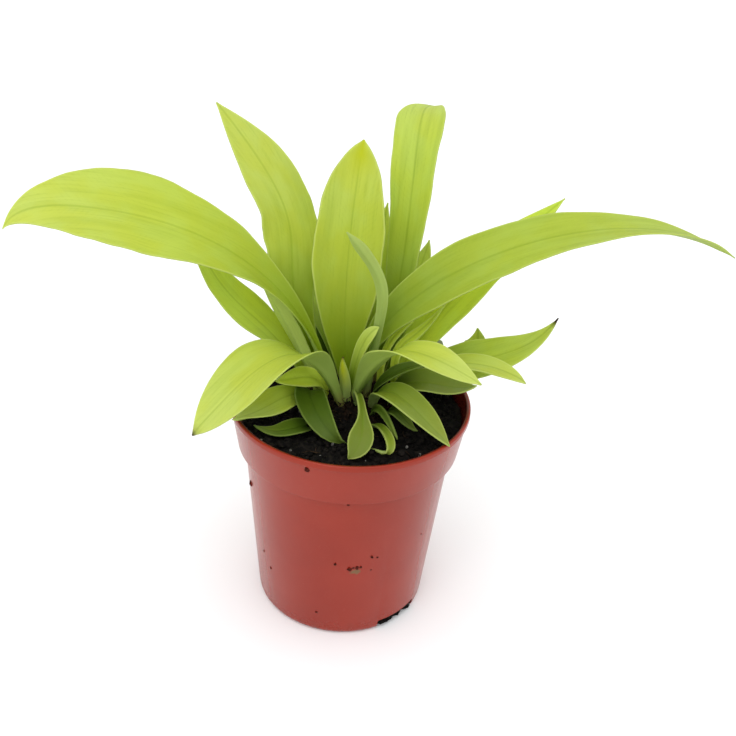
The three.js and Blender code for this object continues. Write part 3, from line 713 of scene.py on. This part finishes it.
def pot_material():
    """Satin terracotta-coloured plastic, a little dust and dirt, and painted shade in the collar.
    """
    material, tree, shader = new_material("terracotta_plastic", **POT_SHINE)
    grain = cloud(tree, *GRAIN_CLOUD)
    drawn = cloud(tree, *DRAWN_CLOUD)
    dust = pot_dust(tree)
    tones = remap(tree, cloud(tree, *TONE_CLOUD), *TONE_FADE)
    colour = blend(tree, tones, linear(POT_TONES[0]), linear(POT_TONES[1]))
    colour = blend(tree, remap(tree, grain, *FLECK_FADE), colour, linear(FLECK_COLOUR))
    colour = blend(tree, dust, colour, linear(DUST_COLOUR))
    # Painted shade inside the collar.
    colour = blend(tree, pot_inner_shade(tree), colour, linear(INNER_SHADE_COLOUR))
    colour = blend(tree, pot_smear(tree), colour, linear(SMEAR_COLOUR))
    tree.links.new(colour, shader.inputs["Base Color"])
    rough = remap(tree, drawn, *POT_ROUGHNESS)
    rough = calculate(tree, "MULTIPLY_ADD", dust, DUST_ROUGHNESS, rough)
    tree.links.new(rough, shader.inputs["Roughness"])
    relief = calculate(tree, "MULTIPLY", grain, GRAIN_RELIEF)
    relief = calculate(tree, "MULTIPLY_ADD", drawn, DRAWN_RELIEF, relief)
    set_bump(tree, shader, relief, *POT_BUMP)
    return material


def earth_material(name, dark, light, per_metre, roughness):
    """Soil, peat, bark and grit: two tones in specks, with a grainy surface."""
    material, tree, shader = new_material(
        name, Roughness=roughness, Specular_IOR_Level=EARTH_SPECULAR)
    specks = cloud(tree, per_metre, *EARTH_DETAIL)
    colour = blend(tree, remap(tree, specks, *EARTH_FADE), linear(dark), linear(light))
    tree.links.new(colour, shader.inputs["Base Color"])
    set_bump(tree, shader, specks, *EARTH_BUMP)
    return material


# ---- pot ----

def rounded_profile(corners):
    """Radius and height along a polyline's rounded corners, without its two ends."""
    places = [Vector(corner[:2]) for corner in corners]
    profile = []
    for index in range(1, len(corners) - 1):
        before, corner, after = places[index - 1:index + 2]
        to_before, to_after = (before - corner).normalized(), (after - corner).normalized()
        half_angle = to_before.angle(to_after) / 2
        reach = corners[index][2] / math.tan(half_angle)
        start, end = corner + to_before * reach, corner + to_after * reach
        for step in range(ROUNDING_STEPS + 1):
            share = step / ROUNDING_STEPS
            first = start.lerp(corner, share)
            profile.append(tuple(first.lerp(corner.lerp(end, share), share)))
    return profile


def wall_radius(height):
    """The pot's outer radius at a height below its lip."""
    if height < COLLAR_BOTTOM:
        return np.interp(height, (0, COLLAR_BOTTOM), (WALL_BASE_RADIUS, WALL_TOP_RADIUS))
    radii = (COLLAR_BOTTOM_RADIUS, COLLAR_TOP_RADIUS)
    return np.interp(height, (COLLAR_BOTTOM, LIP_BOTTOM), radii)


def wall_point(degrees, height):
    angle = math.radians(degrees)
    radius = wall_radius(height)
    return np.array([radius * math.cos(angle), radius * math.sin(angle), height])


def make_pot(material):
    corners = [(0, 0, 0), *POT_OUTSIDE, *POT_INSIDE, (0, POT_FLOOR, 0)]
    rings = [level_ring(*place, POT_SIDES) for place in rounded_profile(corners)]
    pot = add_piece("pot_shell", *stacked_rings(rings), material)
    for index, degrees in enumerate(NOTCH_ANGLES):
        cut(pot, notch_cutter(index, degrees))
    pot.data.shade_smooth()
    pot.data.set_sharp_from_angle(angle=math.radians(SHARP_DEGREES))
    return pot


def notch_cutter(index, degrees):
    """A rounded block that stands where a drainage notch goes."""
    block = bmesh.new()
    bmesh.ops.create_cube(block, size=1)
    length = NOTCH_OUTER_RADIUS - NOTCH_INNER_RADIUS
    middle = (NOTCH_INNER_RADIUS + NOTCH_OUTER_RADIUS) / 2
    bmesh.ops.scale(block, vec=(length, NOTCH_WIDTH, 2 * NOTCH_HEIGHT), verts=block.verts)
    bmesh.ops.translate(block, vec=(middle, 0, 0), verts=block.verts)
    bmesh.ops.bevel(
        block, geom=block.edges, offset=NOTCH_ROUNDING, segments=3, affect="EDGES", profile=0.5,
    )
    bmesh.ops.rotate(block, matrix=turn_about_axis(degrees), verts=block.verts)
    bmesh.ops.scale(block, vec=(MM, MM, MM), verts=block.verts)
    mesh = bpy.data.meshes.new(f"notch_{index}")
    block.to_mesh(mesh)
    block.free()
    return bpy.data.objects.new(mesh.name, mesh)


def cut(piece, cutter):
    """Takes the cutter's room out of the piece, and the cutter out of the scene."""
    bpy.context.scene.collection.objects.link(cutter)
    modifier = piece.modifiers.new("notch", "BOOLEAN")
    modifier.operation = "DIFFERENCE"
    modifier.solver = "EXACT"
    modifier.object = cutter
    bpy.context.view_layer.update()
    shaped = piece.evaluated_get(bpy.context.evaluated_depsgraph_get())
    mesh = bpy.data.meshes.new_from_object(shaped)
    piece.modifiers.clear()
    piece.data = mesh
    bpy.data.objects.remove(cutter)


def make_specks(material):
    draw = random.Random(SEEDS["specks"])
    bodies = []
    for degrees, height, size in POT_SPECKS:
        wall = wall_point(degrees, height)
        inward = wall * (1, 1, 0) / wall_radius(height)
        bodies.append(crumb(draw, wall - inward * size * SPECK_SINK, size))
    return add_piece("pot_specks", *joined(bodies), material)


# ---- soil ----

def lumps(x, y, layers):
    return sum(size * noise.noise(Vector((x * pace, y * pace, layer)))
               for pace, size, layer in layers)


def soil_height(x, y):
    waves = sum(math.sin(along_x * x + along_y * y + phase)
                for along_x, along_y, phase in SOIL_WAVES)
    return SOIL_TOP + SOIL_SLOPE_X * x + SOIL_SLOPE_Y * y + SOIL_ROUGHNESS * waves


def rough_soil_height(x, y):
    return soil_height(x, y) + lumps(x, y, SOIL_LUMPS)


def make_soil(material):
    rings = [level_ring(*place, SOIL_SIDES) for place in SOIL_SIDE_PROFILE]
    for ring in range(SOIL_RINGS):
        points = level_ring(SOIL_RADIUS * (1 - ring / SOIL_RINGS), 0, SOIL_SIDES)
        rings.append(np.array([(x, y, rough_soil_height(x, y)) for x, y, _ in points]))
    return add_piece("soil_bed", *stacked_rings(rings), material)


def on_soil(draw, margin):
    """A random spot on the soil, evenly spread, at least the margin from its edge."""
    radius = (SOIL_RADIUS - margin) * math.sqrt(draw.random())
    angle = draw.uniform(0, 2 * math.pi)
    x, y = radius * math.cos(angle), radius * math.sin(angle)
    return np.array([x, y, rough_soil_height(x, y)])


def make_crumbs(material):
    draw = random.Random(SEEDS["crumbs"])
    smallest, largest = CRUMB_SIZES
    bodies = []
    for _ in range(CRUMBS):
        size = smallest + (largest - smallest) * draw.random() ** CRUMB_RARITY
        place = on_soil(draw, CRUMB_MARGIN) + (0, 0, size * CRUMB_LIFT)
        bodies.append(crumb(draw, place, size, CRUMB_SQUEEZE))
    return add_piece("soil_crumbs", *joined(bodies), material)


def make_notch_soil_and_shade(material):
    """Soil that shows in the drainage notches, filled out to the wall's face as their painted
    shade.
    """
    draw = random.Random(SEEDS["notches"])
    bodies = []
    for degrees in NOTCH_ANGLES:
        turn = np.array(turn_about_axis(degrees))
        for _ in range(NOTCH_CRUMBS):
            size = draw.uniform(*NOTCH_CRUMB_SIZES)
            place = np.array([
                draw.uniform(*NOTCH_FILL_RADII),
                draw.uniform(-0.5, 0.5) * (NOTCH_WIDTH - 2 * size),
                draw.uniform(NOTCH_CRUMB_CLEARANCE * size, NOTCH_HEIGHT - size),
            ])
            bodies.append(crumb(draw, turn @ place, size))
    return add_piece("notch_soil_and_shade", *joined(bodies), material)


def make_fibres(material):
    draw = random.Random(SEEDS["fibres"])
    radii = np.array(FIBRE_RADII)
    bodies = []
    for _ in range(FIBRES):
        middle = on_soil(draw, FIBRE_MARGIN)
        heading = draw.uniform(0, 2 * math.pi)
        bend = draw.uniform(-FIBRE_BEND, FIBRE_BEND)
        length = draw.uniform(*FIBRE_LENGTHS)
        path = []
        for share in np.linspace(-0.5, 0.5, len(radii)):
            turn = heading + bend * share
            x = middle[0] + length * share * math.cos(turn)
            y = middle[1] + length * share * math.sin(turn)
            rise = FIBRE_RISE + FIBRE_ARCH * math.cos(share * FIBRE_ARC)
            path.append((x, y, soil_height(x, y) + rise))
        bodies.append(swept(path, np.array([0, 0, 1.0]), radii, radii, FIBRE_SIDES))
    return add_piece("soil_fibres", *joined(bodies), material)


def make_perlite(material):
    draw = random.Random(SEEDS["perlite"])
    spots = list(PERLITE_SEEN)
    for _ in range(PERLITE_HIDDEN):
        x, y, _height = on_soil(draw, PERLITE_MARGIN)
        spots.append((x, y, draw.uniform(*PERLITE_SIZES)))
    bodies = [
        crumb(draw, np.array([x, y, rough_soil_height(x, y) + size * PERLITE_LIFT]), size)
        for x, y, size in spots
    ]
    return add_piece("perlite", *joined(bodies), material)


# ---- crown ----

def crown_spot(reach, angle):
    """X and Y at a share of the way out from the crown's middle."""
    x = CROWN_CENTRE[0] + CROWN_HALF_SIZE[0] * reach * math.cos(angle)
    y = CROWN_CENTRE[1] + CROWN_HALF_SIZE[1] * reach * math.sin(angle)
    return x, y


def crown_ring(scale):
    """Spots round the crown's outline, or nearer its middle where scale is below 1."""
    return [
        crown_spot(scale + sum(size * math.sin(lobes * angle + phase)
                               for lobes, size, phase in CROWN_OUTLINE), angle)
        for angle in around(CROWN_SIDES)
    ]


def crown_height(x, y):
    """Height of the crown's rough top."""
    off_x = (x - CROWN_CENTRE[0]) / CROWN_HALF_SIZE[0]
    off_y = (y - CROWN_CENTRE[1]) / CROWN_HALF_SIZE[1]
    dome = math.sqrt(max(0, 1 - off_x * off_x - off_y * off_y))
    return CROWN_SHOULDER + (CROWN_TOP - CROWN_SHOULDER) * dome + lumps(x, y, CROWN_LUMPS)


def make_crown(material):
    rings = [np.array([(x, y, CROWN_BOTTOM) for x, y in crown_ring(1)])]
    for ring in range(CROWN_RINGS):
        scale = math.cos(ring / CROWN_RINGS * math.pi / 2)
        rings.append(np.array([(x, y, crown_height(x, y)) for x, y in crown_ring(scale)]))
    return add_piece("crown_body", *stacked_rings(rings), material)


def make_scales(material):
    """The papery brown scales between the stalks."""
    draw = random.Random(SEEDS["scales"])
    bodies = []
    for _ in range(SCALES):
        angle = draw.uniform(0, 2 * math.pi)
        x, y = crown_spot(SCALE_REACH * math.sqrt(draw.random()), angle)
        foot = np.array([x, y, crown_height(x, y) - SCALE_SINK])
        lean = draw.uniform(*SCALE_LEANS)
        heading = angle + draw.uniform(-SCALE_TURN, SCALE_TURN)
        outward = np.array([math.cos(heading), math.sin(heading), 0])
        across = np.array([-outward[1], outward[0], 0])
        length = draw.uniform(*SCALE_LENGTHS)
        path = []
        for share in np.linspace(0, 1, len(SCALE_OUTLINE)):
            bend = lean * (SCALE_CURL + share)
            upward = np.array([0, 0, math.cos(bend)])
            path.append(foot + length * share * (outward * math.sin(bend) + upward))
        half_widths = draw.uniform(*SCALE_HALF_WIDTHS) * np.array(SCALE_OUTLINE)
        half_heights = half_widths * SCALE_FLATNESS + SCALE_THINNEST
        bodies.append(swept(path, across, half_widths, half_heights, SCALE_SIDES))
    return add_piece("crown_scales", *joined(bodies), material)


# ---- fronds ----

def path_at(points, t):
    """Places and directions at t of the cubic through four points at 0, 1/3, 2/3 and 1."""
    knots = np.array([0, 1 / 3, 2 / 3, 1])
    places = np.zeros((len(t), 3))
    slopes = np.zeros((len(t), 3))
    for index, point in enumerate(points):
        p, q, r = np.delete(knots, index)
        scale = (knots[index] - p) * (knots[index] - q) * (knots[index] - r)
        places += np.outer((t - p) * (t - q) * (t - r) / scale, point)
        slope = (t - q) * (t - r) + (t - p) * (t - r) + (t - p) * (t - q)
        slopes += np.outer(slope / scale, point)
    return places, unit(slopes)


def roll_at(roll, t):
    at_root, at_middle, at_tip = roll
    return at_root * (1 - t) * (1 - 2 * t) + 4 * at_middle * t * (1 - t) + at_tip * t * (2 * t - 1)


def width_at(frond, t):
    wide = frond["wide"]
    opening = np.sin(np.pi / 2 * np.clip(t / wide, 0, 1)) ** frond["taper"]
    growing = STALK_WIDTH + (frond["width"] - STALK_WIDTH) * opening
    beyond = np.clip((t - wide) / (1 - wide), 0, 1)
    closing = frond["width"] * (1 - beyond ** frond["bluntness"])
    return np.where(t < wide, growing, np.maximum(closing, TIP_WIDTH))


def cup_at(frond, t):
    """How far the halves fold up: little in the stalk's foot, most above it, less beyond."""
    stalk_cup, blade_cup = frond["cup"]
    opened = blade_cup + (stalk_cup - blade_cup) * np.clip(1 - t / CUP_LENGTH, 0, 1) ** CUP_CURVE
    foot = np.clip((t + FOOT_LENGTH / 3) / FOOT_LENGTH, 0, 1)
    return opened * foot * foot * (3 - 2 * foot)


def frame_at(frond, t):
    """Where the frond is at t, the direction across the blade and that of its upper face."""
    points = [(*frond["root"], ROOT_HEIGHT), frond["a"], frond["b"], frond["tip"]]
    places, directions = path_at(np.array(points, float), t)
    face = math.radians(frond["face"])
    level = np.array([-math.sin(face), math.cos(face), 0])
    across = unit(level - (directions @ level)[:, None] * directions)
    roll = np.radians(roll_at(frond["roll"], t))[:, None]
    across = across * np.cos(roll) + np.cross(directions, across) * np.sin(roll)
    return places, across, np.cross(directions, across)


def unevenness(waves, phases, distance):
    """A sum of waves, each given by its length and its height."""
    return sum(size * np.sin(2 * np.pi * distance / length + phase)
               for (length, size), phase in zip(waves, phases))


def blade_points(frond, t, side):
    """The blade's middle surface, as a grid of len(t) by len(side) points."""
    places, across, up = frame_at(frond, t)
    half = width_at(frond, t) / 2
    cup = cup_at(frond, t)
    distance = t * frond["chord"]
    beyond = np.clip((t - frond["wide"]) / (1 - frond["wide"]), 0, 1)
    drift = frond["lean"] * frond["width"] / 2 * beyond ** LEAN_CURVE
    narrowing = 1 - CUP_NARROWING * cup * cup
    spread = np.outer(half * narrowing, side)
    rise = np.outer(cup * half, np.abs(side) ** CUP_CURVE)
    for sign, shift, phases in zip((-1, 1), (0, RIPPLE_SHIFT), frond["phases"]):
        near_margin = side * side * (np.sign(side) == sign)
        ripple = np.sin(2 * np.pi * RIPPLES * t + shift)
        swell = frond["wave"] * np.sin(np.pi * t) * ripple
        swell += half * unevenness(FACE_WAVES, phases, distance)
        rise += np.outer(swell, near_margin)
        spread *= 1 + np.outer(unevenness(MARGIN_WAVES, phases, distance), near_margin)
    spread += (drift * narrowing)[:, None]
    sideways = spread[..., None] * across[:, None]
    return places[:, None] + sideways + rise[..., None] * up[:, None]


def blade_normals(frond, t, side):
    """The directions square to the blade's middle surface."""
    along = blade_points(frond, t + SLOPE_STEP, side) - blade_points(frond, t - SLOPE_STEP, side)
    across = blade_points(frond, t, side + SLOPE_STEP) - blade_points(frond, t, side - SLOPE_STEP)
    return unit(np.cross(along, across))


def blade_thickness(half, t, side):
    """How far the upper and the lower face stand off the middle surface."""
    off_midrib = np.abs(side) * half
    keel = np.interp(t, (0, 1), KEEL)[:, None]
    keel_width = np.interp(t, (0, 1), KEEL_WIDTH)[:, None]
    groove = GROOVE * np.sin(np.pi * np.clip(t / GROOVE_LENGTH, 0, 1))[:, None]
    ending = np.clip((1 - t) / TIP_LENGTH, TIP_THINNEST, 1)[:, None]
    thickness = MIDDLE_THICKNESS + (MARGIN_THICKNESS - MIDDLE_THICKNESS) * side * side
    above = (thickness - groove * np.exp(-(off_midrib / GROOVE_WIDTH) ** 2)) * ending
    below = (thickness + keel * np.exp(-(off_midrib / keel_width) ** 2)) * ending
    return above, below


def toward_tip(t, length):
    """From 0 to 1 over the first part of the blade's last length."""
    if not length:
        return np.zeros_like(t)
    return np.clip((t - 1 + length) / (length * TIP_TINT_GROWTH), 0, 1)


def blade_attributes(frond, seed, t, side, half, middle):
    """What the leaf materials read, for the upper face and then for the lower."""
    grid = np.ones((len(t), len(side)))
    midrib = middle[:, len(HALF_SIDES)]
    distance = np.cumsum(np.r_[0, np.linalg.norm(np.diff(midrib, axis=0), axis=1)])
    layers = {
        "along": t[:, None] * grid,
        "across": side * half,
        "seed": seed * grid,
        "to_margin": half * (1 - np.abs(side)),
        "distance": distance[:, None] * grid,
        # How light the frond's green is: painted shade and light.
        "fresh": frond["fresh"] * grid,
        "scorch": toward_tip(t, frond["scorch"])[:, None] * grid,
        "gold": toward_tip(t, frond["gold"])[:, None] * np.sqrt(1 - np.abs(side)),
    }
    layers = {key: np.concatenate([values, values]) for key, values in layers.items()}
    layers["under"] = np.concatenate([0 * grid, grid])
    return layers


def closed_sheet(upper, lower):
    """Two grids of points, one above the other, closed all round their edge."""
    grid = np.arange(upper[..., 0].size).reshape(upper.shape[:2])
    below = grid.size
    cells = np.stack([grid[:-1, :-1], grid[1:, :-1], grid[1:, 1:], grid[:-1, 1:]], axis=-1)
    faces = []
    for p, s, r, q in cells.reshape(-1, 4).tolist():
        faces += [(p, s, r, q), (below + p, below + q, below + r, below + s)]
    sides = (grid[0, :-1], grid[:-1, -1], grid[-1, :0:-1], grid[:0:-1, 0])
    edge = np.concatenate(sides).tolist()
    for start, end in zip(edge, edge[1:] + edge[:1]):
        faces.append((start, end, below + end, below + start))
    return np.concatenate([upper.reshape(-1, 3), lower.reshape(-1, 3)]), faces


def make_frond(frond, material):
    draw = random.Random(frond["name"])
    frond["chord"] = math.dist(frond["tip"], (*frond["root"], ROOT_HEIGHT))
    waves = max(len(MARGIN_WAVES), len(FACE_WAVES))
    frond["phases"] = [[draw.uniform(0, 2 * math.pi) for _ in range(waves)] for _ in range(2)]
    seed = draw.uniform(0, NOISE_REACH)
    t = np.linspace(0, 1, round(frond["chord"] / STATION_SPACING) + 1)
    side = np.array([-share for share in reversed(HALF_SIDES)] + [0] + list(HALF_SIDES))
    half = width_at(frond, t)[:, None] / 2
    middle = blade_points(frond, t, side)
    normal = blade_normals(frond, t, side)
    above, below = blade_thickness(half, t, side)
    upper = middle + normal * above[..., None]
    lower = middle - normal * below[..., None]
    layers = blade_attributes(frond, seed, t, side, half, middle)
    return add_piece(frond["name"] + "_blade", *closed_sheet(upper, lower), material, layers)


# ---- stage ----

def make_camera():
    data = bpy.data.cameras.new("camera")
    data.sensor_width = SENSOR
    data.lens = FOCAL_PIXELS / FRAME_PIXELS * SENSOR
    data.clip_start = CLIP_START
    data.clip_end = CLIP_END
    camera = bpy.data.objects.new("camera", data)
    camera.matrix_world = (
        Matrix.Translation(Vector(CAMERA_PLACE) * MM)
        @ Matrix.Rotation(-CAMERA_YAW, 4, "Z")
        @ Matrix.Rotation(math.pi / 2 - CAMERA_PITCH, 4, "X")
        @ Matrix.Rotation(CAMERA_ROLL, 4, "Z")
    )
    bpy.context.scene.collection.objects.link(camera)
    bpy.context.scene.camera = camera


def add_light(name, kind, energy, toward):
    """A light that shines from the direction toward."""
    data = bpy.data.lights.new(name, kind)
    data.energy = energy
    light = bpy.data.objects.new(name, data)
    light.rotation_euler = toward.to_track_quat("Z", "Y").to_euler()
    bpy.context.scene.collection.objects.link(light)
    return light


def make_floor():
    material, tree, shader = new_material("floor_paper", **PAPER_SHINE)
    tones = blend(tree, cloud(tree, *PAPER_CLOUD), *PAPER_TONES)
    tree.links.new(tones, shader.inputs["Base Color"])
    quarters = ((-1, -1), (1, -1), (1, 1), (-1, 1))
    corners = [(x * FLOOR_REACH, y * FLOOR_REACH, 0) for x, y in quarters]
    floor = add_piece("floor", corners, [(0, 1, 2, 3)], material)


def make_lights():
    world = bpy.data.worlds.new("studio")
    world.use_nodes = True
    background = world.node_tree.nodes["Background"]
    background.inputs["Color"].default_value = SKY_COLOUR
    background.inputs["Strength"].default_value = SKY_STRENGTH
    bpy.context.scene.world = world
    overhead = add_light("overhead", "SUN", OVERHEAD_STRENGTH, Vector(OVERHEAD_FROM))
    overhead.data.angle = math.radians(OVERHEAD_SPREAD)
    key = add_light("key", "AREA", KEY_WATTS, Vector(KEY_PLACE) - Vector(KEY_TARGET))
    key.data.shape = "SQUARE"
    key.data.size = KEY_SIZE
    key.location = KEY_PLACE
    bpy.context.scene.view_settings.view_transform = "Standard"


# ---- assembly ----

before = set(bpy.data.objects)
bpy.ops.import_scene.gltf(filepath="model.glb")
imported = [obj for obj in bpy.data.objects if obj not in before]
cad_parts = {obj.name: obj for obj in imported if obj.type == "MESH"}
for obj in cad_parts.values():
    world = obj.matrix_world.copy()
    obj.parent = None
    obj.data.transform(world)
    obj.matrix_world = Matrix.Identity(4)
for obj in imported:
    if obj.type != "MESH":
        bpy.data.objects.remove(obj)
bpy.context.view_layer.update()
make_camera()
make_floor()
make_lights()

plastic = pot_material()
earths = {name: earth_material(name, *looks) for name, looks in EARTHS.items()}
dressed = [
    (make_pot(plastic), "pot_plastic", ["pot"]),
    (make_soil(earths["soil_earth"]), "potting_soil", ["soil"]),
    (make_crown(earths["rootstock_bark"]), "rootstock", ["crown"]),
    (make_specks(earths["dried_soil"]), "potting_soil", []),
    (make_notch_soil_and_shade(earths["soil_earth"]), "potting_soil", []),
    (make_crumbs(earths["soil_earth"]), "potting_soil", []),
    (make_fibres(earths["peat_fibre"]), "potting_soil", []),
    (make_perlite(earths["perlite_grit"]), "potting_soil", []),
    (make_scales(earths["scale_brown"]), "rootstock", []),
]
# Lit, middling and shaded copies of one leaf green: painted light and shade.
leaves = {key: leaf_material("leaf_" + key, tones) for key, tones in LEAF_TONES.items()}
for row in FRONDS:
    frond = {**FROND_DEFAULTS, **row}
    blade = make_frond(frond, leaves[frond["colour"]])
    dressed.append((blade, "leaf_" + frond["colour"], [frond["name"]]))

for piece, slot, nodes in dressed:
    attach(piece, "root")
    if nodes:
        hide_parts(*nodes)
